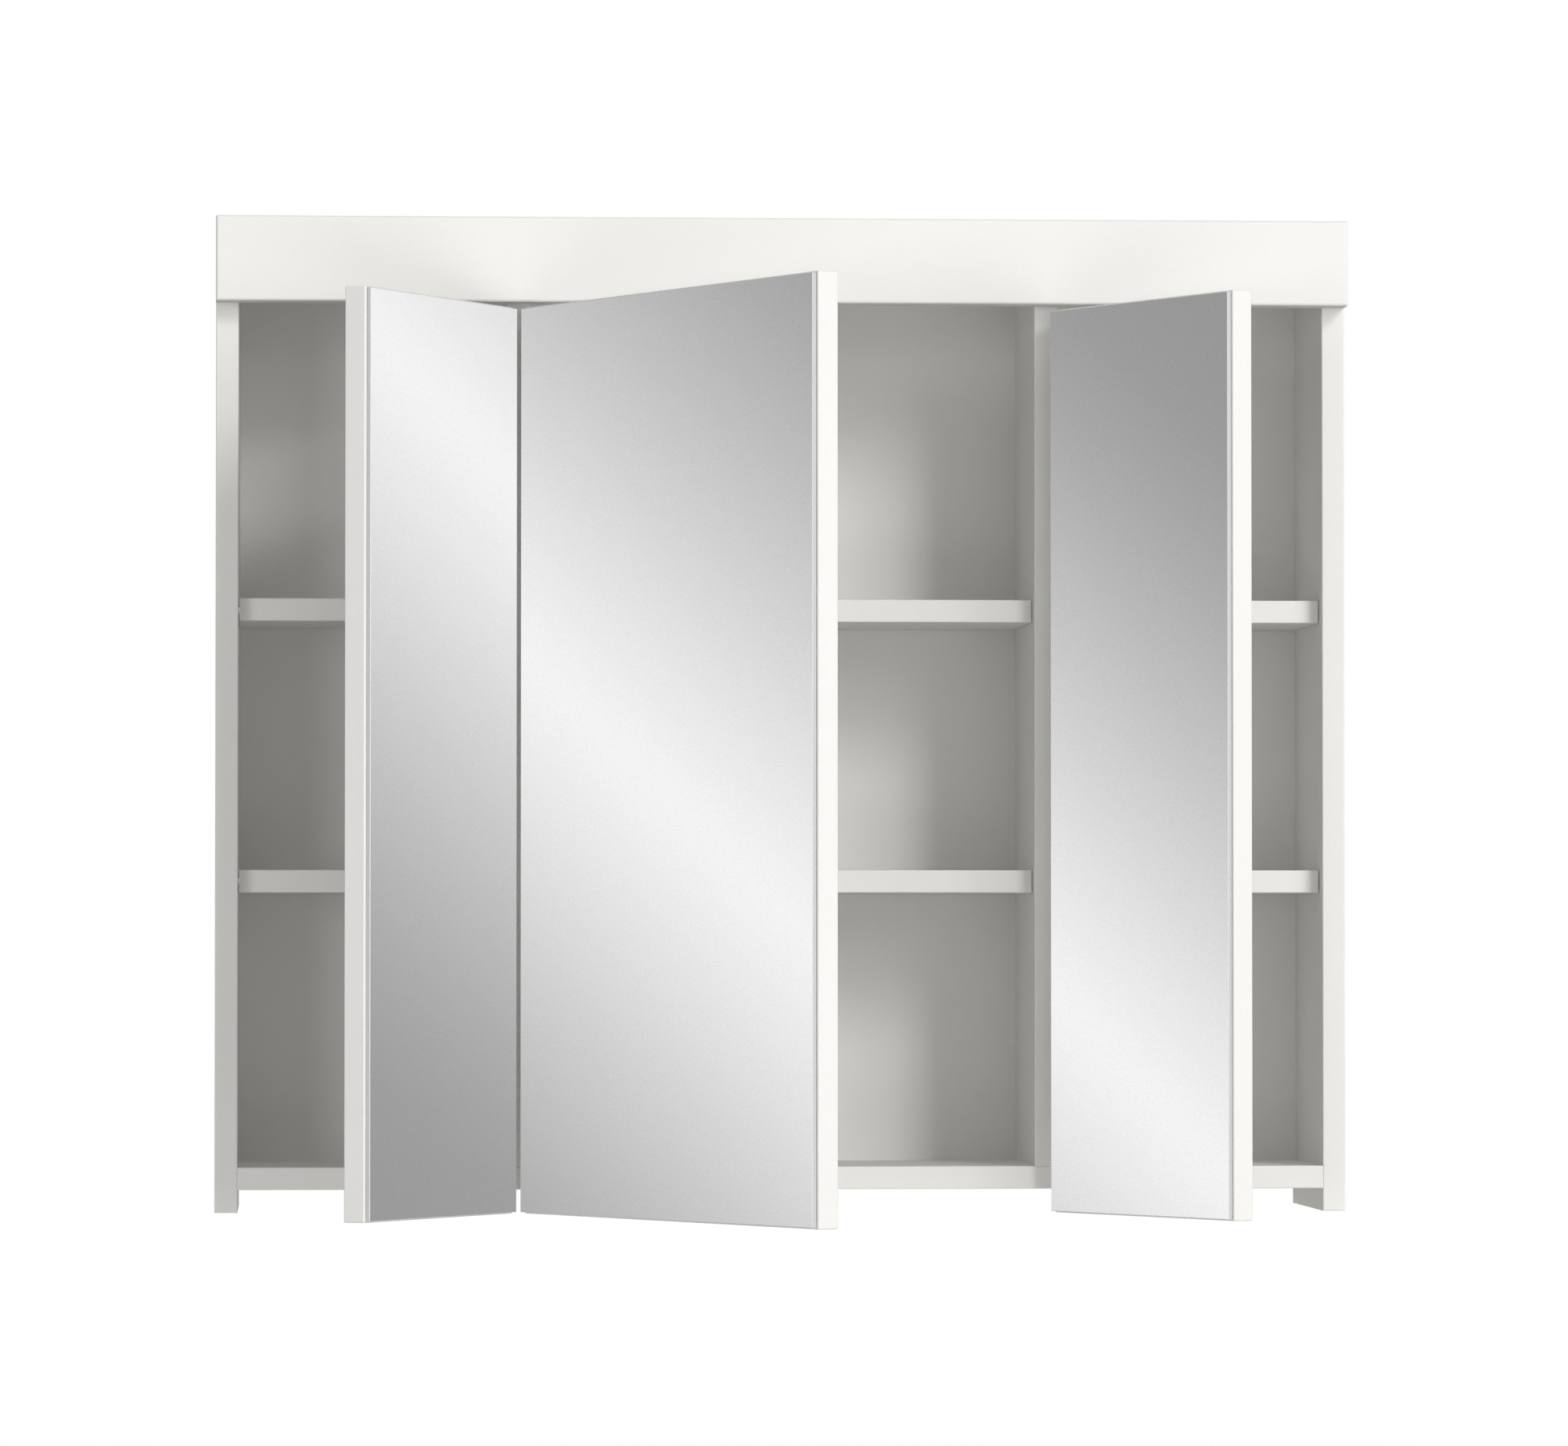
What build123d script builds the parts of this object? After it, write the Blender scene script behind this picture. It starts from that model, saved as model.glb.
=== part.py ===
"""Wall-hung bathroom mirror cabinet with three mirrored doors, standing open at 60 degrees.

The cabinet hangs on a wall in the plane y = 0 and faces -Y. Z is up and X runs to the right.
The origin is midway between the two wall-screw holes, on the rear face of the hanging rail.
Heights in the names below are counted up from the lower edge of the side panels.
"""

from build123d import *
import math
import os

os.makedirs("parts", exist_ok=True)

# Carcass boards, in millimetres
cabinet_width = 800.0
cabinet_height = 701.0
board = 16.0
side_depth = 169.0
board_edge_radius = 1.0
divider_centre = 187.0
bottom_board_height = 16.0
shelf_heights = {"lower": 225.4, "upper": 417.4}
shelf_recess = 16.0
shelf_end_gap = 0.8
shelf_rear_gap = 1.5
header_height = 60.0
header_thickness = 22.0
header_edge_radius = 2.0

# Back panel in its grooves, and the rail behind it that carries the cabinet
back_panel_thickness = 3.0
back_groove_width = 4.0
back_groove_depth = 7.0
back_panel_edge_clearance = 0.5
rail_height = 60.0
wall_screw_height = 665.0
wall_screw_spacing = 576.0
wall_screw_hole_radius = 3.5

# Knock-down fittings
fit_clearance = 0.05
dowel_radius = 4.0
dowel_length = 30.0
dowel_in_end_grain = 19.0
cam_radius = 7.5
cam_depth = 12.5
cam_setback = 34.0
cam_bolt_radius = 3.0
cam_bolt_thread_radius = 2.5
cam_bolt_thread_length = 10.0
cam_bolt_bore_radius = 3.7
cam_rows = (39.0, 119.0)
dowel_row = 79.0
divider_dowel_rows = (34.0, 124.0)
assembly_screw_radius = 2.5
assembly_screw_head_radius = 4.8
assembly_screw_head_height = 3.0
assembly_screw_length = 50.0
shelf_pin_radius = 2.5
shelf_pin_length = 14.0
shelf_pin_in_panel = 6.4
shelf_pin_rows = (39.0, 119.0)
shelf_groove_height = 5.2
shelf_groove_depth = 8.6
back_screw_radius = 1.4
back_screw_head_radius = 3.0
back_screw_head_height = 1.2
back_screw_length = 14.0

# Doors: a mirror glass bonded to a board with thin strips of adhesive
door_height = 637.0
door_gap = 2.6
narrow_door_width = 211.0
door_carcass_gap = 2.0
glass_thickness = 3.0
glass_arris = 0.4
glass_inset_free_edge = 2.0
glass_inset_top_bottom = 1.0
adhesive_thickness = 0.3
adhesive_strip_width = 22.0
adhesive_margin = 12.0
bumper_radius = 4.0
bumper_height = 1.5
bumper_setback = 9.0
bumper_heights = (24.0, 613.0)
open_angle = 60.0

# Concealed hinges: distances run from the front glass corner of the door's hinge edge
hinge_heights = (92.0, 545.0)
cup_radius = 17.5
cup_wall = 0.7
cup_depth = 11.5
cup_edge_distance = 3.0
cup_flange_thickness = 1.0
cup_screw_offset = 9.5
cup_screw_spread = 24.0
cup_screw_radius = 1.75
cup_screw_head_radius = 3.4
cup_screw_length = 12.0
link_pivot = (31.6, 12.4)
link_length = 21.4
link_closed_angle = 178.3
link_ratio = 0.741
link_half_thickness = 1.0
link_eye_radius = 2.6
link_half_width = 5.9
pivot_pin_radius = 1.5
pivot_pin_head_radius = 2.2
pivot_pin_head_height = 0.6
arm_half_width = 7.5
arm_wall = 1.3
arm_nose_radius = 2.8
arm_rear = 88.0
arm_top = 21.0
arm_foot = 12.0
plate_setback = 37.0
plate_thickness = 2.5
plate_half_length = 24.0
plate_half_width = 8.0
plate_screw_spread = 16.0
plate_screw_radius = 2.4
plate_screw_length = 7.5
plate_screw_head_radius = 4.2
plate_screw_head_height = 1.8
plate_block_half_width = 5.6
adjusting_screw_radius = 1.9
adjusting_screw_head_radius = 3.0
adjusting_screw_head_height = 1.0

# Planes and levels worked out from the sizes above
floor_z = -wall_screw_height
half_width = cabinet_width / 2
inner_x = half_width - board
front_y = -side_depth
back_front_y = -board - back_panel_thickness
top_z = floor_z + cabinet_height
top_underside_z = top_z - board
bottom_z = floor_z + bottom_board_height
bottom_top_z = bottom_z + board
rail_bottom_z = top_underside_z - rail_height
header_bottom_z = top_z - header_height
door_back = glass_thickness + adhesive_thickness + board
carcass_front = door_back + door_carcass_gap
door_front_y = front_y - carcass_front
middle_door_width = 2 * divider_centre - door_gap
divider_face = (board + door_gap) / 2 - door_gap

centred = (Align.CENTER, Align.CENTER, Align.CENTER)
standing = (Align.CENTER, Align.CENTER, Align.MIN)


def block(x, y, z):
    """A box between two limits on each axis."""
    size = (x[1] - x[0], y[1] - y[0], z[1] - z[0])
    middle = ((x[0] + x[1]) / 2, (y[0] + y[1]) / 2, (z[0] + z[1]) / 2)
    return Pos(*middle) * Box(*size, align=centred)


def rod(start, direction, radius, length):
    """A round bar that starts at a point and runs along +x, -x, +y, -y, +z or -z."""
    turns = {
        "+x": Rot(0, 90, 0),
        "-x": Rot(0, -90, 0),
        "+y": Rot(-90, 0, 0),
        "-y": Rot(90, 0, 0),
        "+z": Rot(0, 0, 0),
        "-z": Rot(180, 0, 0),
    }
    return Pos(*start) * turns[direction] * Cylinder(radius, length, align=standing)


def step_along(start, direction, distance):
    """The point a distance away from start along one of the six directions."""
    sign = 1 if direction[0] == "+" else -1
    axis = "xyz".index(direction[1])
    point = list(start)
    point[axis] += sign * distance
    return tuple(point)


def round_face_edges(solid, face, radius):
    """Soften every edge of one face."""
    return fillet(face.edges(), radius)


def front_rounded(solid, radius):
    """Soften the edges of a board's front face, the one with the lowest y."""
    return round_face_edges(solid, solid.faces().sort_by(Axis.Y)[0], radius)


def save(name, solids):
    """Write one node, whose separate solids share the file."""
    pieces = [piece for solid in solids for piece in solid.solids()]
    whole = pieces[0] if len(pieces) == 1 else Compound(children=pieces)
    export_step(whole, f"parts/{name}.step")


def other_way(direction):
    """The opposite direction."""
    return ("-" if direction[0] == "+" else "+") + direction[1]


# Loose hardware is gathered here while the boards are bored for it
cams, cam_bolts, dowels, assembly_screws, shelf_pins = [], [], [], [], []


def dowel_joint(face_point, into_end_grain):
    """A dowel across a butt joint, and the bore that both boards get for it."""
    start = step_along(face_point, into_end_grain, dowel_in_end_grain)
    back = other_way(into_end_grain)
    dowels.append(rod(start, back, dowel_radius, dowel_length))
    bore_start = step_along(start, into_end_grain, 1.0)
    return rod(bore_start, back, dowel_radius + fit_clearance, dowel_length + 2.0)


def cam_joint(face_point, into_board, cam_mouth, mouth_distance):
    """A cam and its bolt; returns the bores in the carrying board and in the board it pulls.

    face_point lies on the butt joint at the middle of the board's thickness. The bolt runs
    into_board from there, and the cam is let in from the face that cam_mouth points to.
    """
    back = other_way(into_board)
    inner = other_way(cam_mouth)
    centre = step_along(face_point, into_board, cam_setback)
    mouth = step_along(centre, cam_mouth, mouth_distance)
    pocket = rod(mouth, inner, cam_radius, cam_depth)
    bore = rod(face_point, into_board, cam_bolt_bore_radius, cam_setback)
    thread_bore = rod(face_point, back, cam_bolt_thread_radius + fit_clearance, cam_bolt_thread_length + 1.0)

    body = rod(mouth, inner, cam_radius - fit_clearance, cam_depth - fit_clearance)
    throat = rod(step_along(centre, back, cam_radius + 1.0), into_board, cam_bolt_bore_radius, cam_radius + 3.0)
    slot_depth = 2.0
    along = "x" if into_board[1] == "x" else "y"
    slot_long, slot_wide = 9.0, 1.6
    long_size = (slot_long, slot_wide, 2 * slot_depth)
    cross_size = (slot_wide, slot_long, 2 * slot_depth)
    sizes = (long_size, cross_size) if along == "x" else (cross_size, long_size)
    slots = [Pos(*mouth) * Box(*size, align=centred) for size in sizes]
    cams.append(body - [throat] - slots)

    neck_start = cam_setback - 6.0
    head_start = cam_setback - 3.0
    bolt = rod(face_point, back, cam_bolt_thread_radius, cam_bolt_thread_length)
    bolt += rod(face_point, into_board, cam_bolt_radius, neck_start)
    bolt += rod(step_along(face_point, into_board, neck_start), into_board, cam_bolt_radius - 1.0, 3.0)
    bolt += rod(step_along(face_point, into_board, head_start), into_board, cam_bolt_radius + 0.4, 3.0)
    cam_bolts.append(bolt)
    return thread_bore, pocket + bore


def assembly_screw(head_point, direction):
    """A countersunk furniture screw with a cross slot, and its bore."""
    cone = Cone(
        assembly_screw_head_radius,
        assembly_screw_radius,
        assembly_screw_head_height,
        align=standing,
    )
    turn = Rot(180, 0, 0) if direction == "-z" else Rot(0, 0, 0)
    head = Pos(*head_point) * turn * cone
    shank = rod(head_point, direction, assembly_screw_radius, assembly_screw_length)
    recess_size = (1.2, 5.0, 3.0)
    recess = [
        Pos(*head_point) * Box(*recess_size, align=centred),
        Pos(*head_point) * Rot(0, 0, 90) * Box(*recess_size, align=centred),
    ]
    assembly_screws.append(head + shank - recess)
    return head + rod(head_point, direction, assembly_screw_radius, assembly_screw_length + 1.0)


# Plain boards of the carcass, before they are bored and grooved
def side_board(sign):
    """A side panel; sign is -1 for the left one and 1 for the right one."""
    limits = sorted((sign * inner_x, sign * half_width))
    panel = block(limits, (front_y, 0), (floor_z, top_z))
    panel = front_rounded(panel, board_edge_radius)
    groove_limits = sorted((sign * inner_x, sign * (inner_x + back_groove_depth)))
    middle = back_front_y + back_panel_thickness / 2
    groove_y = (middle - back_groove_width / 2, middle + back_groove_width / 2)
    return panel - block(groove_limits, groove_y, (floor_z, top_z))


sides = {-1: side_board(-1), 1: side_board(1)}

divider_boards = {}
for sign in (-1, 1):
    limits = (sign * divider_centre - board / 2, sign * divider_centre + board / 2)
    divider = block(limits, (front_y, back_front_y), (bottom_top_z, top_underside_z))
    front_edges = divider.edges().filter_by(Axis.Z).group_by(Axis.Y)[0]
    divider_boards[sign] = fillet(front_edges, board_edge_radius)

bottom_board = block((-inner_x, inner_x), (front_y, back_front_y), (bottom_z, bottom_top_z))
bottom_board = fillet(bottom_board.edges().filter_by(Axis.X).group_by(Axis.Y)[0], board_edge_radius)

top_board = block((-inner_x, inner_x), (front_y, 0), (top_underside_z, top_z))
groove_middle = back_front_y + back_panel_thickness / 2
top_groove = block(
    (-inner_x, inner_x),
    (groove_middle - back_groove_width / 2, groove_middle + back_groove_width / 2),
    (top_underside_z, top_underside_z + back_groove_depth),
)
top_board -= top_groove

header = block(
    (-half_width, half_width),
    (front_y - header_thickness, front_y),
    (header_bottom_z, top_z),
)
header = front_rounded(header, header_edge_radius)

panel_half_width = inner_x + back_groove_depth - back_panel_edge_clearance
back_panel = block(
    (-panel_half_width, panel_half_width),
    (back_front_y, back_front_y + back_panel_thickness),
    (bottom_z + 1.0, top_underside_z + back_groove_depth - back_panel_edge_clearance),
)

rail = block((-inner_x, inner_x), (-board, 0), (rail_bottom_z, top_underside_z))

# Two holes through the rail and the back panel take the wall screws. The header hides them
for sign in (-1, 1):
    hole = rod((sign * wall_screw_spacing / 2, -2 * board, 0), "+y", wall_screw_hole_radius, 3 * board)
    rail -= hole
    back_panel -= hole

# Bottom and top boards are pulled against the sides by cams and lined up by dowels
for sign in (-1, 1):
    inward = "-x" if sign > 0 else "+x"
    for level, mouth in ((bottom_z, "-z"), (top_underside_z, "+z")):
        mid_z = level + board / 2
        target = bottom_board if level == bottom_z else top_board
        for row in cam_rows:
            thread_bore, cam_bores = cam_joint((sign * inner_x, front_y + row, mid_z), inward, mouth, board / 2)
            sides[sign] -= thread_bore
            target -= cam_bores
        dowel_bore = dowel_joint((sign * inner_x, front_y + dowel_row, mid_z), inward)
        sides[sign] -= dowel_bore
        target -= dowel_bore
        if level == bottom_z:
            bottom_board = target
        else:
            top_board = target

# Dividers stand on dowels and are screwed through the bottom and top boards
for sign in (-1, 1):
    x = sign * divider_centre
    for row in divider_dowel_rows:
        low_bore = dowel_joint((x, front_y + row, bottom_top_z), "+z")
        high_bore = dowel_joint((x, front_y + row, top_underside_z), "-z")
        divider_boards[sign] -= [low_bore, high_bore]
        bottom_board -= low_bore
        top_board -= high_bore
    low_screw = assembly_screw((x, front_y + dowel_row, bottom_z), "+z")
    high_screw = assembly_screw((x, front_y + dowel_row, top_z), "-z")
    divider_boards[sign] -= [low_screw, high_screw]
    bottom_board -= low_screw
    top_board -= high_screw

# The rail sits on dowels between the sides and hangs from two screws in the top board
rail_dowel_spread = 16.0
rail_middle_z = (rail_bottom_z + top_underside_z) / 2
rail_screw_x = 96.0
for sign in (-1, 1):
    inward = "-x" if sign > 0 else "+x"
    for offset in (-rail_dowel_spread, rail_dowel_spread):
        bore = dowel_joint((sign * inner_x, -board / 2, rail_middle_z + offset), inward)
        sides[sign] -= bore
        rail -= bore
    bore = assembly_screw((sign * rail_screw_x, -board / 2, top_z), "-z")
    rail -= bore
    top_board -= bore

# The header is pulled onto the top board by three cams and sits on dowels in the panels' front edges
header_cam_positions = (-290.0, 0.0, 290.0)
header_dowel_height = header_bottom_z + 22.0
for x in header_cam_positions:
    thread_bore, cam_bores = cam_joint((x, front_y, top_underside_z + board / 2), "+y", "+z", board / 2)
    header -= thread_bore
    top_board -= cam_bores
for sign in (-1, 1):
    bore = dowel_joint((sign * (half_width - board / 2), front_y, header_dowel_height), "+y")
    sides[sign] -= bore
    header -= bore
    bore = dowel_joint((sign * divider_centre, front_y, header_dowel_height), "+y")
    divider_boards[sign] -= bore
    header -= bore

# Six shelves rest on hidden pins: each end has a groove, open at the rear, that slides over them
bays = {
    "left": (-inner_x, -divider_centre - board / 2),
    "middle": (-divider_centre + board / 2, divider_centre - board / 2),
    "right": (divider_centre + board / 2, inner_x),
}
shelves = {}
for bay, (bay_left, bay_right) in bays.items():
    for level, height in shelf_heights.items():
        z = floor_z + height
        left_end = bay_left + shelf_end_gap
        right_end = bay_right - shelf_end_gap
        shelf_front = front_y + shelf_recess
        shelf_rear = back_front_y - shelf_rear_gap
        shelf = block((left_end, right_end), (shelf_front, shelf_rear), (z, z + board))
        shelf = fillet(shelf.edges().filter_by(Axis.X).group_by(Axis.Y)[0], board_edge_radius)
        mid_z = z + board / 2
        groove_z = (mid_z - shelf_groove_height / 2, mid_z + shelf_groove_height / 2)
        groove_front = front_y + shelf_pin_rows[0] - 2 * shelf_pin_radius
        shelf -= block((left_end, left_end + shelf_groove_depth), (groove_front, shelf_rear), groove_z)
        shelf -= block((right_end - shelf_groove_depth, right_end), (groove_front, shelf_rear), groove_z)
        shelves[f"{bay}_{level}_shelf"] = shelf
        for row in shelf_pin_rows:
            for wall_x, outward in ((bay_left, "-x"), (bay_right, "+x")):
                start = step_along((wall_x, front_y + row, mid_z), outward, shelf_pin_in_panel)
                inward = other_way(outward)
                shelf_pins.append(rod(start, inward, shelf_pin_radius, shelf_pin_length))
                bore = rod(start, inward, shelf_pin_radius + fit_clearance, shelf_pin_in_panel)
                if abs(abs(wall_x) - inner_x) < 1.0:
                    sides[int(math.copysign(1, wall_x))] -= bore
                else:
                    divider_boards[int(math.copysign(1, wall_x))] -= bore

# Small screws hold the back panel to the bottom board and to the dividers
back_screws = []
back_rear_y = back_front_y + back_panel_thickness
back_screw_spots = [(x, bottom_z + board / 2) for x in (-350.0, -270.0, -100.0, 0.0, 100.0, 270.0, 350.0)]
for sign in (-1, 1):
    back_screw_spots += [(sign * divider_centre, floor_z + height) for height in (180.0, 330.0, 520.0)]
for x, z in back_screw_spots:
    head = rod((x, back_rear_y, z), "+y", back_screw_head_radius, back_screw_head_height)
    head -= Pos(x, back_rear_y + back_screw_head_height, z) * Box(0.8, 1.2, 4.0, align=centred)
    head -= Pos(x, back_rear_y + back_screw_head_height, z) * Box(4.0, 1.2, 0.8, align=centred)
    shank = rod((x, back_rear_y, z), "-y", back_screw_radius, back_screw_length)
    back_screws.append(head + shank)
    bore = rod((x, back_rear_y, z), "-y", back_screw_radius, back_screw_length + 0.5)
    back_panel -= bore
    if abs(abs(x) - divider_centre) < 1.0:
        divider_boards[int(math.copysign(1, x))] -= bore
    else:
        bottom_board -= bore


# One door and its hinges, drawn closed: x runs along the door from its hinge edge, y runs from the
# glass face towards the cabinet, and z runs up from the door's lower edge
def door_board(width):
    """The door's board, softened on every edge and bored for the hinge cups and their screws."""
    panel = block((0, width), (door_back - board, door_back), (0, door_height))
    panel = fillet(panel.edges(), board_edge_radius)
    for height in hinge_heights:
        cup_centre = (cup_edge_distance + cup_radius, door_back, height)
        panel -= rod(cup_centre, "-y", cup_radius + fit_clearance, cup_depth + fit_clearance)
        for spread in (-cup_screw_spread, cup_screw_spread):
            spot = (cup_centre[0] + cup_screw_offset, door_back, height + spread)
            panel -= rod(spot, "-y", cup_screw_radius, cup_screw_length + 0.5)
    return panel


def mirror_glass(width):
    """The mirror, flush with the board at the hinge edge and set in at the other edges."""
    glass = block(
        (0, width - glass_inset_free_edge),
        (0, glass_thickness),
        (glass_inset_top_bottom, door_height - glass_inset_top_bottom),
    )
    return chamfer(glass.faces().sort_by(Axis.Y)[0].edges(), glass_arris)


def adhesive_strips(width, count):
    """Upright strips of adhesive, spread evenly between glass and board."""
    first = adhesive_margin
    last = width - adhesive_margin - adhesive_strip_width
    strips = []
    for index in range(count):
        x = first + (last - first) * index / (count - 1)
        limits = (x, x + adhesive_strip_width)
        depth = (glass_thickness, glass_thickness + adhesive_thickness)
        strips.append(block(limits, depth, (adhesive_margin, door_height - adhesive_margin)))
    return strips


def hinge_cup(height):
    """A drawn steel cup with a floor, a thin wall and a winged flange with two screw holes."""
    centre = (cup_edge_distance + cup_radius, door_back, height)
    cup = rod(centre, "-y", cup_radius, cup_depth)
    cup += rod(centre, "+y", cup_radius + 1.4, cup_flange_thickness)
    wing = block(
        (centre[0] + 2.0, centre[0] + cup_screw_offset + 6.0),
        (door_back, door_back + cup_flange_thickness),
        (height - cup_screw_spread - 5.5, height + cup_screw_spread + 5.5),
    )
    cup += fillet(wing.edges().filter_by(Axis.Y), 4.0)
    hollow_start = (centre[0], door_back + cup_flange_thickness, height)
    hollow_depth = cup_depth + cup_flange_thickness - cup_wall - 0.1
    cup -= rod(hollow_start, "-y", cup_radius - cup_wall, hollow_depth)
    for spread in (-cup_screw_spread, cup_screw_spread):
        spot = (centre[0] + cup_screw_offset, door_back + cup_flange_thickness, height + spread)
        cup -= rod(spot, "-y", cup_screw_radius + fit_clearance, cup_flange_thickness)
    return cup


def hinge_cup_screws(height):
    """The two round-headed screws of a hinge cup."""
    screws = []
    for spread in (-cup_screw_spread, cup_screw_spread):
        x = cup_edge_distance + cup_radius + cup_screw_offset
        seat = (x, door_back + cup_flange_thickness, height + spread)
        head = rod(seat, "+y", cup_screw_head_radius, 1.4)
        head = fillet(head.faces().sort_by(Axis.Y)[-1].edges(), 0.7)
        shank = rod(seat, "-y", cup_screw_radius, cup_screw_length)
        cross = [
            Pos(x, door_back + cup_flange_thickness + 1.4, height + spread) * Box(*size, align=centred)
            for size in ((0.9, 1.4, 4.0), (4.0, 1.4, 0.9))
        ]
        screws.append(head + shank - cross)
    return screws


def bumpers(width):
    """Soft stops near the free edge that meet the carcass as the door closes."""
    stops = []
    for height in bumper_heights:
        stop = rod((width - bumper_setback, door_back, height), "+y", bumper_radius, bumper_height)
        stops.append(fillet(stop.faces().sort_by(Axis.Y)[-1].edges(), 1.0))
    return stops


def hinge_arm(height):
    """A pressed channel that caps the mounting plate and cranks out to the pivot in the cup."""
    pivot_x, pivot_y = link_pivot
    outer = pivot_x + arm_nose_radius
    inner = pivot_x - arm_nose_radius
    outline = make_face(
        Polyline(
            (arm_foot, arm_rear),
            (arm_top, arm_rear),
            (arm_top, 46.0),
            (outer, 27.0),
            (outer, pivot_y),
            (inner, pivot_y),
            (inner, 25.0),
            (arm_foot, 46.0),
            close=True,
        )
    )
    nose = Pos(pivot_x, pivot_y) * Circle(arm_nose_radius)
    hollow = make_face(
        Polyline(
            (arm_foot - 3.0, arm_rear - arm_wall),
            (arm_top - arm_wall, arm_rear - arm_wall),
            (arm_top - arm_wall, 45.6),
            (outer - arm_wall, 26.6),
            (outer - arm_wall, 18.5),
            (outer + 2.0, 18.5),
            (outer + 2.0, pivot_y - 6.0),
            (inner - 4.0, pivot_y - 6.0),
            (inner - 4.0, 22.0),
            (arm_foot - 3.0, 40.0),
            close=True,
        )
    )
    channel = extrude(outline + nose, amount=arm_half_width, both=True)
    channel -= extrude(hollow, amount=arm_half_width - arm_wall, both=True)
    channel -= Pos(pivot_x, pivot_y) * Cylinder(pivot_pin_radius + fit_clearance / 2, 4 * arm_half_width)
    for y in adjusting_screw_places:
        channel -= rod((arm_top + 1.0, y, 0), "-x", adjusting_screw_radius + fit_clearance, 4.0)
    return Pos(0, 0, height) * channel


def pivot_pin(height):
    """The riveted pin that joins arm and link."""
    pivot_x, pivot_y = link_pivot
    pin = rod((pivot_x, pivot_y, height - arm_half_width), "+z", pivot_pin_radius, 2 * arm_half_width)
    pin += rod((pivot_x, pivot_y, height + arm_half_width), "+z", pivot_pin_head_radius, pivot_pin_head_height)
    pin += rod((pivot_x, pivot_y, height - arm_half_width), "-z", pivot_pin_head_radius, pivot_pin_head_height)
    return pin


def hinge_link(height):
    """The link that swings in the cup, drawn for a closed door and turned to the open pose."""
    eye = Circle(link_eye_radius)
    bar = Pos(link_length / 2, 0) * Rectangle(link_length, 2 * link_half_thickness)
    tip = Pos(link_length, 0) * Circle(link_half_thickness)
    link = extrude(eye + bar + tip, amount=link_half_width, both=True)
    link -= Cylinder(pivot_pin_radius + fit_clearance, 4 * link_half_width)
    rest_angle = link_closed_angle + link_ratio * open_angle
    return Pos(link_pivot[0], link_pivot[1], height) * Rot(0, 0, rest_angle) * link


adjusting_screw_places = (52.0, 76.0)
plate_y = carcass_front + plate_setback


def mounting_plate(height):
    """The cross-shaped plate on the divider's face, with the block that the arm caps."""
    wings = block(
        (divider_face, divider_face + plate_thickness),
        (plate_y - plate_half_width, plate_y + plate_half_width),
        (-plate_half_length, plate_half_length),
    )
    wings = fillet(wings.edges().filter_by(Axis.X), 5.0)
    core = block(
        (divider_face + plate_thickness, arm_top - arm_wall - 1.0),
        (48.0, arm_rear - 4.0),
        (-plate_block_half_width, plate_block_half_width),
    )
    plate = wings + core
    for spread in (-plate_screw_spread, plate_screw_spread):
        plate -= rod((divider_face - 1.0, plate_y, spread), "+x", plate_screw_radius + fit_clearance, 5.0)
    for y in adjusting_screw_places:
        plate -= rod((arm_top, y, 0), "-x", adjusting_screw_radius + fit_clearance, 8.0)
    return Pos(0, 0, height) * plate


def plate_screws(height):
    """Two screws into the divider, and the two adjusting screws that hold the arm."""
    screws = []
    for spread in (-plate_screw_spread, plate_screw_spread):
        seat = (divider_face + plate_thickness, plate_y, height + spread)
        head = rod(seat, "+x", plate_screw_head_radius, plate_screw_head_height)
        head = fillet(head.faces().sort_by(Axis.X)[-1].edges(), 0.8)
        shank = rod(seat, "-x", plate_screw_radius, plate_thickness + plate_screw_length)
        top = divider_face + plate_thickness + plate_screw_head_height
        cross = [
            Pos(top, plate_y, height + spread) * Box(*size, align=centred)
            for size in ((1.8, 0.9, 4.6), (1.8, 4.6, 0.9))
        ]
        screws.append(head + shank - cross)
    for y in adjusting_screw_places:
        seat = (arm_top, y, height)
        head = rod(seat, "+x", adjusting_screw_head_radius, adjusting_screw_head_height)
        shank = rod(seat, "-x", adjusting_screw_radius, 7.0)
        cross = [
            Pos(arm_top + adjusting_screw_head_height, y, height) * Box(*size, align=centred)
            for size in ((1.2, 0.8, 3.6), (1.2, 3.6, 0.8))
        ]
        screws.append(head + shank - cross)
    return screws


def divider_screw_bores():
    """The bores that a divider gets for one door's mounting plates."""
    bores = []
    for height in hinge_heights:
        for spread in (-plate_screw_spread, plate_screw_spread):
            seat = (divider_face, plate_y, height + spread)
            bores.append(rod(seat, "-x", plate_screw_radius + fit_clearance, plate_screw_length + 0.2))
    return bores


doors = {
    "left": {"hinge_x": -divider_centre - door_gap / 2, "hand": -1, "width": narrow_door_width, "divider": -1},
    "middle": {"hinge_x": -divider_centre + door_gap / 2, "hand": 1, "width": middle_door_width, "divider": -1},
    "right": {"hinge_x": divider_centre + door_gap / 2, "hand": 1, "width": narrow_door_width, "divider": 1},
}
strip_counts = {"left": 4, "middle": 6, "right": 4}


def place(solid, door, turned):
    """Put a piece from the closed drawing at its hinge, and turn it open when it is on the door."""
    if door["hand"] < 0:
        solid = mirror(solid, about=Plane.YZ)
    if turned:
        solid = Rot(0, 0, -door["hand"] * open_angle) * solid
    return Pos(door["hinge_x"], door_front_y, floor_z) * solid


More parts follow.
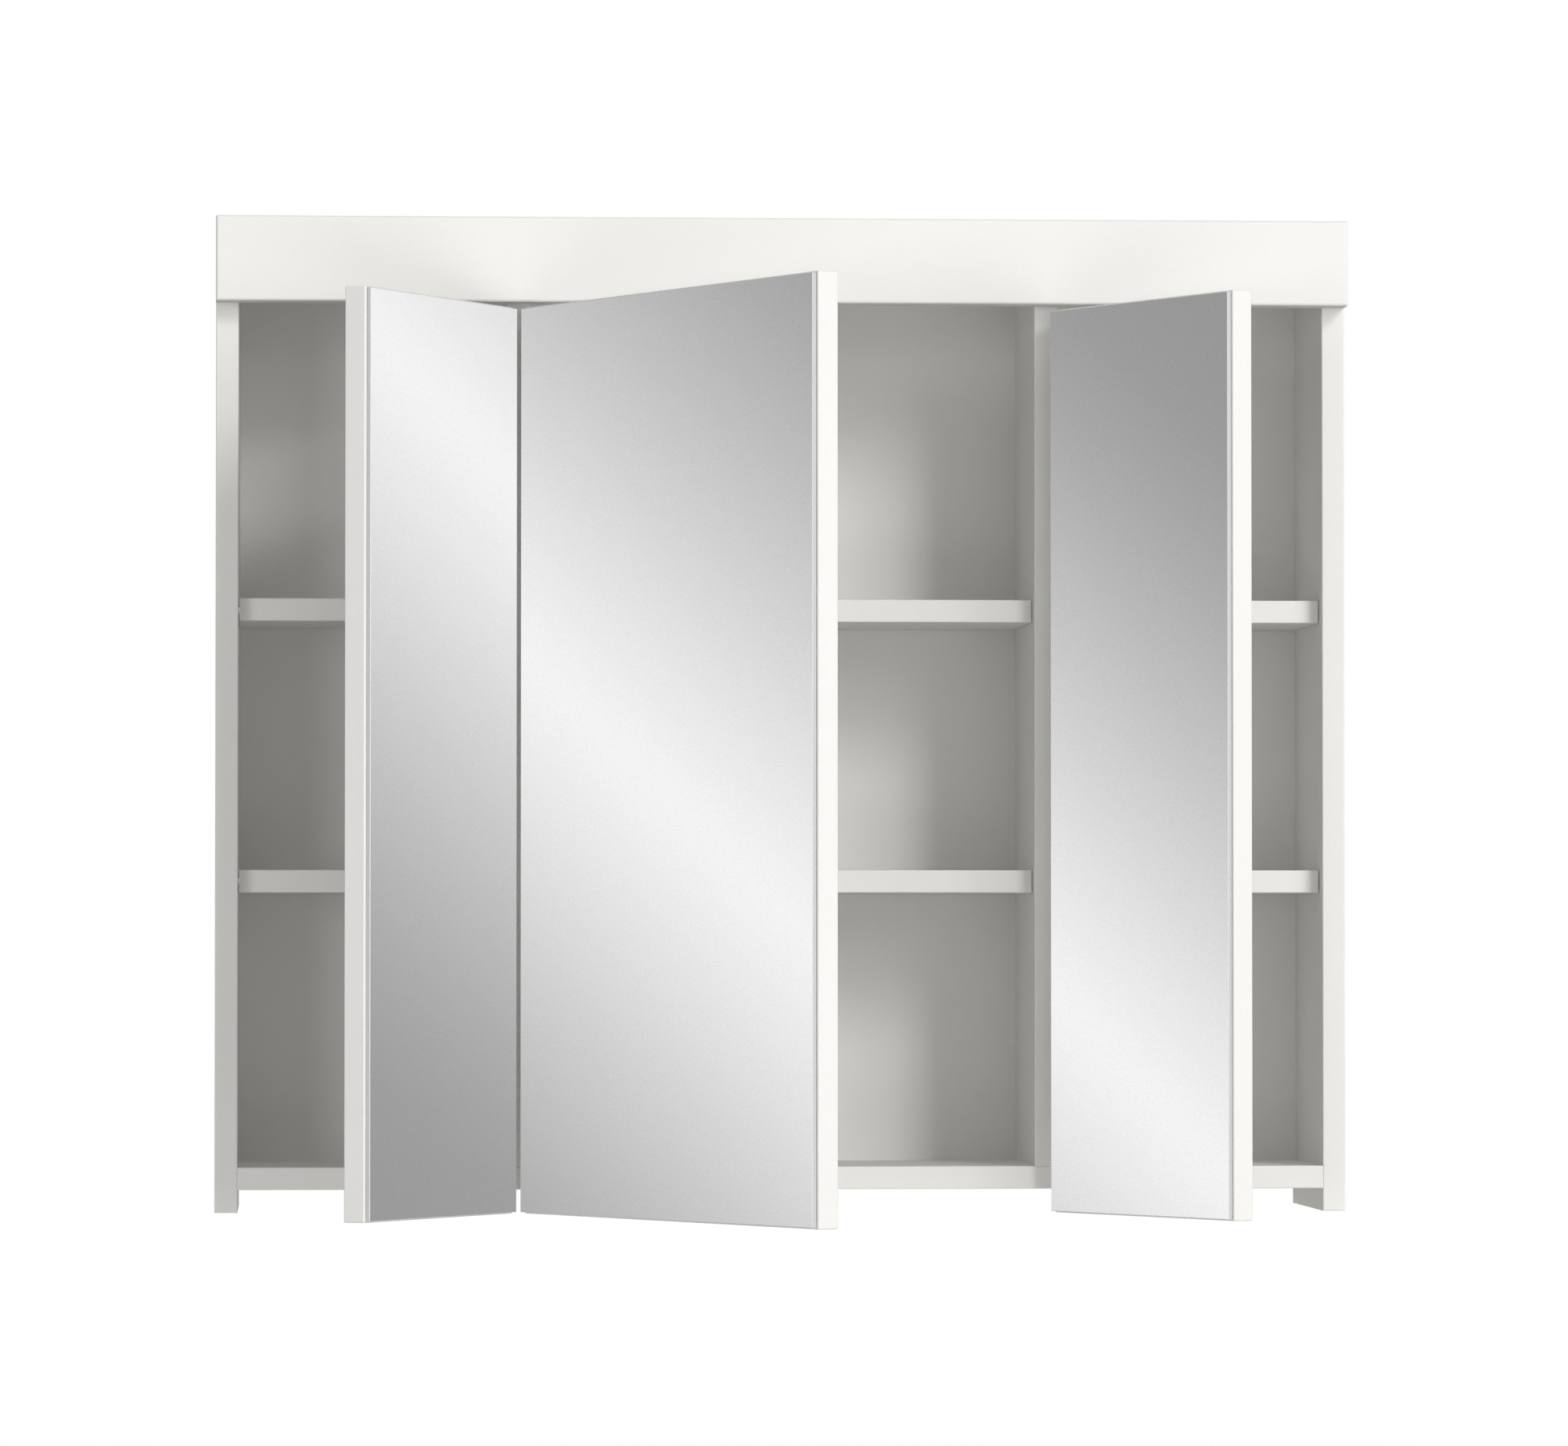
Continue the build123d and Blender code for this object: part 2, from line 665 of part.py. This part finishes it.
for name, door in doors.items():
    width = door["width"]
    on_door = {
        f"{name}_door_board": [door_board(width)],
        f"{name}_mirror_glass": [mirror_glass(width)],
        f"{name}_mirror_adhesive": adhesive_strips(width, strip_counts[name]),
        f"{name}_hinge_cups": [hinge_cup(height) for height in hinge_heights],
        f"{name}_hinge_cup_screws": [screw for height in hinge_heights for screw in hinge_cup_screws(height)],
        f"{name}_door_bumpers": bumpers(width),
    }
    on_cabinet = {
        f"{name}_hinge_arms": [hinge_arm(height) for height in hinge_heights],
        f"{name}_hinge_plates": [mounting_plate(height) for height in hinge_heights],
        f"{name}_hinge_screws": [screw for height in hinge_heights for screw in plate_screws(height)],
        f"{name}_hinge_pins": [pivot_pin(height) for height in hinge_heights],
        f"{name}_hinge_links": [hinge_link(height) for height in hinge_heights],
    }
    for node, solids in on_door.items():
        save(node, [place(solid, door, True) for solid in solids])
    for node, solids in on_cabinet.items():
        save(node, [place(solid, door, False) for solid in solids])
    divider_boards[door["divider"]] -= [place(bore, door, False) for bore in divider_screw_bores()]

save("left_side_panel", [sides[-1]])
save("right_side_panel", [sides[1]])
save("left_divider", [divider_boards[-1]])
save("right_divider", [divider_boards[1]])
save("bottom_board", [bottom_board])
save("top_board", [top_board])
save("header_panel", [header])
save("back_panel", [back_panel])
save("hanging_rail", [rail])
for node, shelf in shelves.items():
    save(node, [shelf])
save("shelf_pins", shelf_pins)
save("cam_locks", cams)
save("cam_bolts", cam_bolts)
save("wood_dowels", dowels)
save("assembly_screws", assembly_screws)
save("back_panel_screws", back_screws)
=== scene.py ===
import math

import bpy
import numpy as np
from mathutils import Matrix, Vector


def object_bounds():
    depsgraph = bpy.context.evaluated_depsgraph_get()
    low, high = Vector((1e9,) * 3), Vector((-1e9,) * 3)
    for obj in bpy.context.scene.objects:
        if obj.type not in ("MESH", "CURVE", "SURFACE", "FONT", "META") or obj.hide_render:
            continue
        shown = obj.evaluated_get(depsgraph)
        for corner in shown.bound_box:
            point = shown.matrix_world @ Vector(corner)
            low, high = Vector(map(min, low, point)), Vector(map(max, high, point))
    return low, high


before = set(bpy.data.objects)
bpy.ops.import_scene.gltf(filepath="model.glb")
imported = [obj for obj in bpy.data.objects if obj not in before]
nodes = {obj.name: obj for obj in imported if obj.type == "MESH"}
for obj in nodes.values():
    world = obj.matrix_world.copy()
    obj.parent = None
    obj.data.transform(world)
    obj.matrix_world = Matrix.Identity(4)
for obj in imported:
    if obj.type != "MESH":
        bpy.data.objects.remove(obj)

cad_low, cad_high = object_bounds()
doors = ("left", "middle", "right")


# ---- Side panels ----
# The two outer boards of the cabinet: 16 mm particle board faced with white melamine paper,
# cut to size on a panel saw and closed with a thin plastic band along the front edge.

pearls_per_metre = 620.0
melamine_clouds_per_metre = 9.0
melamine_roughness = (0.28, 0.36)
melamine_gloss = 0.2
pearl_height = 0.00004
pearl_strength = 0.4


def blank_finish(name):
    """A new material with its node tree, its surface shader and a reader of object coordinates."""
    material = bpy.data.materials.new(name)
    material.use_nodes = True
    tree = material.node_tree
    tree.nodes.clear()
    output = tree.nodes.new("ShaderNodeOutputMaterial")
    surface = tree.nodes.new("ShaderNodeBsdfPrincipled")
    tree.links.new(surface.outputs["BSDF"], output.inputs["Surface"])
    place = tree.nodes.new("ShaderNodeTexCoord").outputs["Object"]
    return material, tree, surface, place


def noise(tree, place, scale, detail=3.0):
    """Soft random clouds, with scale given in clouds per metre."""
    cloud = tree.nodes.new("ShaderNodeTexNoise")
    cloud.inputs["Scale"].default_value = scale
    cloud.inputs["Detail"].default_value = detail
    tree.links.new(place, cloud.inputs["Vector"])
    return cloud.outputs["Fac"]


def spread(tree, value, low, high, from_low=0.3, from_high=0.7):
    """A value between from_low and from_high, spread evenly from low to high."""
    ranger = tree.nodes.new("ShaderNodeMapRange")
    numbers = {"From Min": from_low, "From Max": from_high, "To Min": low, "To Max": high}
    for socket, number in numbers.items():
        ranger.inputs[socket].default_value = number
    tree.links.new(value, ranger.inputs["Value"])
    return ranger.outputs["Result"]


def mix_colours(tree, amount, first, second):
    """Two colours, mixed by an amount from 0, the first, to 1, the second."""
    mixer = tree.nodes.new("ShaderNodeMix")
    mixer.data_type = "RGBA"
    for socket, colour in ((6, first), (7, second)):
        if isinstance(colour, tuple):
            mixer.inputs[socket].default_value = (*colour, 1.0)
        else:
            tree.links.new(colour, mixer.inputs[socket])
    tree.links.new(amount, mixer.inputs[0])
    return mixer.outputs[2]


def bump(tree, surface, height, distance, strength=1.0):
    """Raise and sink the surface by a height from 0 to 1 times a distance in metres."""
    node = tree.nodes.new("ShaderNodeBump")
    node.inputs["Distance"].default_value = distance
    node.inputs["Strength"].default_value = strength
    tree.links.new(height, node.inputs["Height"])
    tree.links.new(node.outputs["Normal"], surface.inputs["Normal"])


def arithmetic(tree, operation, first, second=0.0):
    """One sum on two values, each a number or a socket."""
    node = tree.nodes.new("ShaderNodeMath")
    node.operation = operation
    for socket, value in zip(node.inputs, (first, second)):
        if isinstance(value, (int, float)):
            socket.default_value = value
        else:
            tree.links.new(value, socket)
    return node.outputs[0]


def reach_along(tree, place, direction):
    """How far a point lies along a direction: the dot product of the two."""
    node = tree.nodes.new("ShaderNodeVectorMath")
    node.operation = "DOT_PRODUCT"
    node.inputs[1].default_value = direction
    tree.links.new(place, node.inputs[0])
    return node.outputs["Value"]


def melamine(name, pale, shaded):
    """White melamine: two near whites in broad faint clouds, with the press plate's pearl grain."""
    material, tree, surface, place = blank_finish(name)
    clouds = spread(tree, noise(tree, place, melamine_clouds_per_metre), 0.0, 0.6)
    pearl = noise(tree, place, pearls_per_metre, 2.0)
    mottle = arithmetic(tree, "ADD", clouds, spread(tree, pearl, 0.0, 0.9))
    tree.links.new(mix_colours(tree, mottle, pale, shaded), surface.inputs["Base Color"])
    tree.links.new(spread(tree, pearl, *melamine_roughness), surface.inputs["Roughness"])
    surface.inputs["Specular IOR Level"].default_value = melamine_gloss
    bump(tree, surface, pearl, pearl_height, pearl_strength)
    return material


def cover(material, *names):
    """Lay a material over the named parts of the frame."""
    for name in names:
        nodes[name].data.materials.clear()
        nodes[name].data.materials.append(material)


white_board = melamine("white_melamine", (0.876, 0.868, 0.844), (0.856, 0.848, 0.824))
cover(white_board, "left_side_panel", "right_side_panel", "left_divider", "right_divider",
      "bottom_board", "top_board", "hanging_rail", "header_panel")
for side in doors:
    cover(white_board, f"{side}_lower_shelf", f"{side}_upper_shelf", f"{side}_door_board")


# ---- Back panel ----
# A 3 mm hardboard sheet slid into grooves in the sides and top. Its front has a matt white foil,
# and its rear is the bare brown board with the pressed fibres showing.

panel_front = -0.019
foil_thickness = 0.0002
fibres_per_metre = 420.0
white_foil = melamine("white_foil", (0.864, 0.856, 0.832), (0.844, 0.836, 0.813))
tree = white_foil.node_tree
surface = tree.nodes["Principled BSDF"]
place = tree.nodes["Texture Coordinate"].outputs["Object"]
fibres = noise(tree, place, fibres_per_metre, 5.0)
brown = mix_colours(tree, spread(tree, fibres, 0.0, 1.0),
                    (0.33, 0.215, 0.125), (0.235, 0.148, 0.083))
foil = surface.inputs["Base Color"].links[0].from_socket
rearward = reach_along(tree, place, (0.0, 1.0, 0.0))
bare = arithmetic(tree, "GREATER_THAN", rearward, panel_front + foil_thickness)
tree.links.new(mix_colours(tree, bare, foil, brown), surface.inputs["Base Color"])
cover(white_foil, "back_panel")


# ---- Mirrors ----
# Sheets of 3 mm float glass, silvered on the back, with ground edges and a narrow arris painted pale
# as a highlight.
# The silver's grey carries a painted sheen, a broad slanting reflection painted into its colour, the
# same on every door but lying at its own height.

painted_sheen_reach = 0.60
# distance from the crest of the painted sheen as a share of its reach, and the painted grey there
painted_sheen_steps = ((0.0, 0.905), (0.033, 0.890), (0.067, 0.868), (0.100, 0.842), (0.167, 0.790),
               (0.25, 0.716), (0.333, 0.645), (0.417, 0.578), (0.5, 0.514), (0.583, 0.457),
               (0.667, 0.402), (0.75, 0.361), (0.833, 0.325), (0.95, 0.305))
silver_grains_per_metre = 800.0
silver_grain = (0.96, 1.04)
silver_roughness = (0.10, 0.14)
side_foot = -0.665
glass_sheet = 0.003
face_depth = 0.00003
arris_depth = 0.00045
paint_depth = glass_sheet - 0.0001
glass_edge_grey = (0.57, 0.57, 0.57)
# the arris's pale grey is a painted highlight; the ground edge and the backing paint are the glass's
# own greys
arris_painted_highlight = (0.80, 0.80, 0.80)
backing_grey = (0.33, 0.33, 0.33)
# hinge corner, way from the hinge along the door, slope of the painted sheen, its crest's height at
# the hinge
painted_sheens = {
    "left": ((-0.1883, -0.1903), (-0.5, -0.8660254), -0.44, 0.512),
    "middle": ((-0.1857, -0.1903), (0.5, -0.8660254), 0.54, 0.392),
    "right": ((0.1883, -0.1903), (0.5, -0.8660254), 0.58, 0.152),
}


def silvered(door, corner, along, slope, crest):
    """Grey by distance from the crest of the painted sheen, and the glass's edge by depth behind the
    face.

    The crest is the line height + slope x run = crest, with run measured along the door.
    """
    material, tree, surface, place = blank_finish(f"{door}_silvered_glass")
    hinge_run = corner[0] * along[0] + corner[1] * along[1]
    start = slope * hinge_run + side_foot + crest
    height = reach_along(tree, place, (slope * along[0], slope * along[1], 1.0))
    from_crest = arithmetic(tree, "ABSOLUTE", arithmetic(tree, "SUBTRACT", height, start))
    # the painted sheen: lighter grey at a slanting crest, darker away from it, a reflection painted
    # into the silver's colour
    ramp = tree.nodes.new("ShaderNodeValToRGB")
    ramp.color_ramp.interpolation = "B_SPLINE"
    while len(ramp.color_ramp.elements) < len(painted_sheen_steps):
        ramp.color_ramp.elements.new(0.5)
    for element, (position, grey) in zip(ramp.color_ramp.elements, painted_sheen_steps):
        element.position = position
        element.color = (grey, grey, grey, 1.0)
    tree.links.new(arithmetic(tree, "DIVIDE", from_crest, painted_sheen_reach), ramp.inputs["Fac"])
    grain = spread(tree, noise(tree, place, silver_grains_per_metre, 1.0), *silver_grain)
    grain_and_painted_sheen = tree.nodes.new("ShaderNodeVectorMath")
    grain_and_painted_sheen.operation = "SCALE"
    tree.links.new(ramp.outputs["Color"], grain_and_painted_sheen.inputs[0])
    tree.links.new(grain, grain_and_painted_sheen.inputs["Scale"])

    sheet = nodes[f"{door}_mirror_glass"].data
    corners = np.empty(len(sheet.vertices) * 3)
    sheet.vertices.foreach_get("co", corners)
    outward = np.array((-along[1], along[0], 0.0)) * (1.0 if along[0] < 0 else -1.0)
    face = float((corners.reshape(-1, 3) @ outward).max())
    depth = arithmetic(tree, "SUBTRACT", face, reach_along(tree, place, tuple(outward)))
    off_face = arithmetic(tree, "GREATER_THAN", depth, face_depth)
    ground = arithmetic(tree, "GREATER_THAN", depth, arris_depth)
    painted = arithmetic(tree, "GREATER_THAN", depth, paint_depth)
    # the narrow arris is painted lighter than the ground edge, as a highlight
    bare_edge_and_painted_highlight = mix_colours(tree, ground, arris_painted_highlight, glass_edge_grey)
    edge = mix_colours(tree, painted, bare_edge_and_painted_highlight, backing_grey)
    # on the face, the silver's colour is the painted sheen with its random grain
    tree.links.new(mix_colours(tree, off_face, grain_and_painted_sheen.outputs[0], edge),
                   surface.inputs["Base Color"])
    tree.links.new(arithmetic(tree, "SUBTRACT", 1.0, off_face), surface.inputs["Metallic"])
    tree.links.new(spread(tree, noise(tree, place, 40.0), *silver_roughness),
                   surface.inputs["Roughness"])
    return material


for door in doors:
    cover(silvered(door, *painted_sheens[door]), f"{door}_mirror_glass")


# ---- Mirror adhesive ----
# Short strips of white foam tape that hold each glass to its board, pressed 0.3 mm thin.

foam_tape, tree, surface, place = blank_finish("white_foam_tape")
cells = noise(tree, place, 2200.0, 1.0)
foam_white = mix_colours(tree, spread(tree, cells, 0.0, 1.0), (0.74, 0.74, 0.72), (0.66, 0.66, 0.64))
tree.links.new(foam_white, surface.inputs["Base Color"])
surface.inputs["Roughness"].default_value = 0.8
bump(tree, surface, cells, 0.00005)
cover(foam_tape, *(f"{door}_mirror_adhesive" for door in doors))


# ---- Hinge cups, arms and links ----
# Concealed hinges: deep drawn cups let into the doors, bent arms and links, all nickel plated steel.
# The plating is bright, with the faint lengthwise polish marks of the strip it was pressed from.

def plated_steel(name, pale, dark, smooth, rough, marks, mark_depth):
    """Plated metal: two tints in small clouds, and polish marks, given per metre on each axis."""
    material, tree, surface, place = blank_finish(name)
    clouds = spread(tree, noise(tree, place, 130.0), 0.0, 1.0)
    tree.links.new(mix_colours(tree, clouds, pale, dark), surface.inputs["Base Color"])
    stretch = tree.nodes.new("ShaderNodeMapping")
    stretch.inputs["Scale"].default_value = marks
    tree.links.new(place, stretch.inputs["Vector"])
    lines = noise(tree, stretch.outputs["Vector"], 1.0, 2.0)
    tree.links.new(spread(tree, lines, smooth, rough), surface.inputs["Roughness"])
    surface.inputs["Metallic"].default_value = 0.85
    bump(tree, surface, lines, mark_depth, 0.6)
    return material


plating_mark_depth = 0.00002
nickel_plate = plated_steel("nickel_plate", (0.58, 0.56, 0.525), (0.48, 0.465, 0.435), 0.20, 0.34,
                            (2600.0, 300.0, 2600.0), plating_mark_depth)
for door in doors:
    cover(nickel_plate, f"{door}_hinge_cups", f"{door}_hinge_arms", f"{door}_hinge_links")


# ---- Hinge mounting plates and cam locks ----
# Zinc die castings, the plates screwed to the dividers, with the dull skin that the die leaves.

def cast_skin(name, pale, dark):
    """Cast zinc: dull grey with a fine pitted skin."""
    material, tree, surface, place = blank_finish(name)
    pits = noise(tree, place, 1500.0, 3.0)
    clouds = spread(tree, noise(tree, place, 180.0), 0.0, 1.0)
    tree.links.new(mix_colours(tree, clouds, pale, dark), surface.inputs["Base Color"])
    tree.links.new(spread(tree, pits, 0.38, 0.56), surface.inputs["Roughness"])
    surface.inputs["Metallic"].default_value = 0.8
    bump(tree, surface, pits, 0.00004, 0.8)
    return material


cast_zinc = cast_skin("cast_zinc", (0.46, 0.46, 0.45), (0.37, 0.37, 0.36))
cover(cast_zinc, "cam_locks", *(f"{door}_hinge_plates" for door in doors))


# ---- Screws, pins and cam bolts ----
# Cold headed steel, zinc plated and clear passivated, so a little bluer and duller than the hinges.

zinc_plate = plated_steel("zinc_plate", (0.50, 0.515, 0.53), (0.41, 0.425, 0.445), 0.28, 0.46,
                          (900.0, 900.0, 900.0), plating_mark_depth)
for door in doors:
    cover(zinc_plate, f"{door}_hinge_cup_screws", f"{door}_hinge_screws", f"{door}_hinge_pins")
cover(zinc_plate, "shelf_pins", "cam_bolts", "assembly_screws", "back_panel_screws")


# ---- Wooden dowels ----
# Beech rods, 8 mm thick, with the short dark flecks of the wood along their grain.

beech, tree, surface, place = blank_finish("beech")
stretch = tree.nodes.new("ShaderNodeMapping")
stretch.inputs["Scale"].default_value = (160.0, 1400.0, 1400.0)
tree.links.new(place, stretch.inputs["Vector"])
flecks = noise(tree, stretch.outputs["Vector"], 1.0, 3.0)
wood = mix_colours(tree, spread(tree, flecks, 0.0, 1.0), (0.56, 0.38, 0.22), (0.42, 0.26, 0.14))
tree.links.new(wood, surface.inputs["Base Color"])
tree.links.new(spread(tree, flecks, 0.5, 0.7), surface.inputs["Roughness"])
bump(tree, surface, flecks, 0.0001)
cover(beech, "wood_dowels")


# ---- Door bumpers ----
# Small domes of clear soft plastic on the backs of the doors, a little hazy and yellowed.

clear_dot, tree, surface, place = blank_finish("clear_dot")
haze = noise(tree, place, 700.0, 2.0)
plastic = mix_colours(tree, spread(tree, haze, 0.0, 1.0), (0.88, 0.88, 0.84), (0.80, 0.80, 0.75))
tree.links.new(plastic, surface.inputs["Base Color"])
tree.links.new(spread(tree, haze, 0.15, 0.3), surface.inputs["Roughness"])
surface.inputs["Transmission Weight"].default_value = 0.55
surface.inputs["IOR"].default_value = 1.48
bump(tree, surface, haze, 0.00002)
cover(clear_dot, *(f"{door}_door_bumpers" for door in doors))


# ---- Studio ----
# A pale floor well below the cabinet that fades into a white room, and eight soft lamps far away.
# The mirrors show the white room alone: neither boards nor lamps are seen in a reflection.

floor_drop = 0.30
floor_half = 2.4
floor_fade = (1.0, 2.3)
floor_lift = 0.28
floor_mesh = bpy.data.meshes.new("floor")
floor_z = cad_low.z - floor_drop
floor_mesh.from_pydata(
    [(-floor_half, -floor_half, floor_z), (floor_half, -floor_half, floor_z),
     (floor_half, floor_half, floor_z), (-floor_half, floor_half, floor_z)], [], [(0, 1, 2, 3)])
floor = bpy.data.objects.new("floor", floor_mesh)
bpy.context.scene.collection.objects.link(floor)
floor_finish, tree, surface, place = blank_finish("pale_floor")
speckle = spread(tree, noise(tree, place, 60.0), 0.0, 1.0)
floor_white = mix_colours(tree, speckle, (0.90, 0.90, 0.90), (0.88, 0.88, 0.88))
tree.links.new(floor_white, surface.inputs["Base Color"])
surface.inputs["Roughness"].default_value = 0.9
from_middle = tree.nodes.new("ShaderNodeVectorMath")
from_middle.operation = "LENGTH"
tree.links.new(place, from_middle.inputs[0])
away = tree.nodes.new("ShaderNodeBsdfTransparent")
fader = tree.nodes.new("ShaderNodeMixShader")
tree.links.new(spread(tree, from_middle.outputs["Value"], 0.0, 1.0, *floor_fade), fader.inputs[0])
lift = tree.nodes.new("ShaderNodeEmission")
from_camera = tree.nodes.new("ShaderNodeLightPath").outputs["Is Camera Ray"]
tree.links.new(arithmetic(tree, "MULTIPLY", from_camera, floor_lift), lift.inputs["Strength"])
lifted = tree.nodes.new("ShaderNodeAddShader")
tree.links.new(surface.outputs["BSDF"], lifted.inputs[0])
tree.links.new(lift.outputs[0], lifted.inputs[1])
tree.links.new(lifted.outputs[0], fader.inputs[1])
tree.links.new(away.outputs["BSDF"], fader.inputs[2])
tree.links.new(fader.outputs[0], tree.nodes["Material Output"].inputs["Surface"])
floor_mesh.materials.append(floor_finish)

# strength of the room's light from in front and from behind, and the ray's Y over which it turns
room_front, room_back = 0.20, 0.70
room_turn = (0.0, 0.4)
# the same for what a surface reflects: white, then a dim wall for rays that run nearly straight back
white_in_gloss, wall_in_gloss = 1.0, 0.12
gloss_turn = (0.6, 0.85)
world = bpy.data.worlds.new("white_room")
world.use_nodes = True
bpy.context.scene.world = world
tree = world.node_tree
tree.nodes.clear()
world_output = tree.nodes.new("ShaderNodeOutputWorld")
paths = tree.nodes.new("ShaderNodeLightPath")
no_bounce = arithmetic(tree, "LESS_THAN", paths.outputs["Diffuse Depth"], 0.5)
reflected = arithmetic(tree, "MAXIMUM", paths.outputs["Is Glossy Ray"],
                       paths.outputs["Is Transmission Ray"])
mirrored = arithmetic(tree, "MULTIPLY", reflected, no_bounce)
seen = arithmetic(tree, "MAXIMUM", paths.outputs["Is Camera Ray"], mirrored)
facing = tree.nodes.new("ShaderNodeSeparateXYZ")
tree.links.new(tree.nodes.new("ShaderNodeTexCoord").outputs["Generated"], facing.inputs[0])
dim = tree.nodes.new("ShaderNodeBackground")
tree.links.new(spread(tree, facing.outputs["Y"], room_front, room_back, *room_turn),
               dim.inputs["Strength"])
bright = tree.nodes.new("ShaderNodeBackground")
in_gloss = spread(tree, facing.outputs["Y"], white_in_gloss, wall_in_gloss, *gloss_turn)
tree.links.new(arithmetic(tree, "MAXIMUM", paths.outputs["Is Camera Ray"], in_gloss),
               bright.inputs["Strength"])
for background in (dim, bright):
    background.inputs["Color"].default_value = (1.0, 1.0, 1.0, 1.0)
chooser = tree.nodes.new("ShaderNodeMixShader")
tree.links.new(seen, chooser.inputs[0])
tree.links.new(dim.outputs[0], chooser.inputs[1])
tree.links.new(bright.outputs[0], chooser.inputs[2])
tree.links.new(chooser.outputs[0], world_output.inputs["Surface"])

lamp_distance = 12.0
lamp_aim = Vector((0.0, -0.2, -0.31))
# name, degrees to the right of straight ahead, degrees up, degrees across from the cabinet, watts
lamps = (
    ("key_lamp", 30, 30, 15, 508.0),
    ("low_key_lamp", 30, 15, 15, 198.0),
    ("right_lamp", 45, 0, 18, 245.0),
    ("left_lamp", -30, 0, 20, 273.0),
    ("front_lamp", 0, 15, 30, 35.0),
    ("top_lamp", 0, 45, 25, 60.0),
    ("foot_lamp", 0, -30, 30, 53.0),
    ("right_foot_lamp", 15, -30, 32, 198.0),
)
for lamp_name, azimuth, height, across, watts in lamps:
    azimuth, height = math.radians(azimuth), math.radians(height)
    lamp_way = Vector((math.sin(azimuth) * math.cos(height),
                       -math.cos(azimuth) * math.cos(height), math.sin(height)))
    lamp_data = bpy.data.lights.new(lamp_name, "AREA")
    lamp_data.shape = "SQUARE"
    lamp_data.size = 2 * lamp_distance * math.tan(math.radians(across / 2))
    lamp_data.energy = watts
    lamp = bpy.data.objects.new(lamp_name, lamp_data)
    bpy.context.scene.collection.objects.link(lamp)
    lamp.location = lamp_aim + lamp_way * lamp_distance
    lamp.rotation_euler = lamp_way.to_track_quat("Z", "Y").to_euler()
    lamp.visible_camera = False
    lamp.visible_glossy = False
for node in nodes.values():
    node.visible_glossy = False


# ---- Camera ----
# A long lens some five and a half metres in front of the cabinet, left of its middle and a
# little below the lower shelves.

camera_data = bpy.data.cameras.new("camera")
camera_data.sensor_width = 36.0
camera_data.lens = 181.2
camera_data.clip_end = 50.0
camera = bpy.data.objects.new("camera", camera_data)
bpy.context.scene.collection.objects.link(camera)
camera.location = (-0.3430, -5.7370, -0.4721)
camera_way = Vector((0.0618, 1.0, 0.02736)).normalized()
camera.rotation_euler = (-camera_way).to_track_quat("Z", "Y").to_euler()
bpy.context.scene.camera = camera

bpy.context.scene.view_settings.view_transform = "Standard"
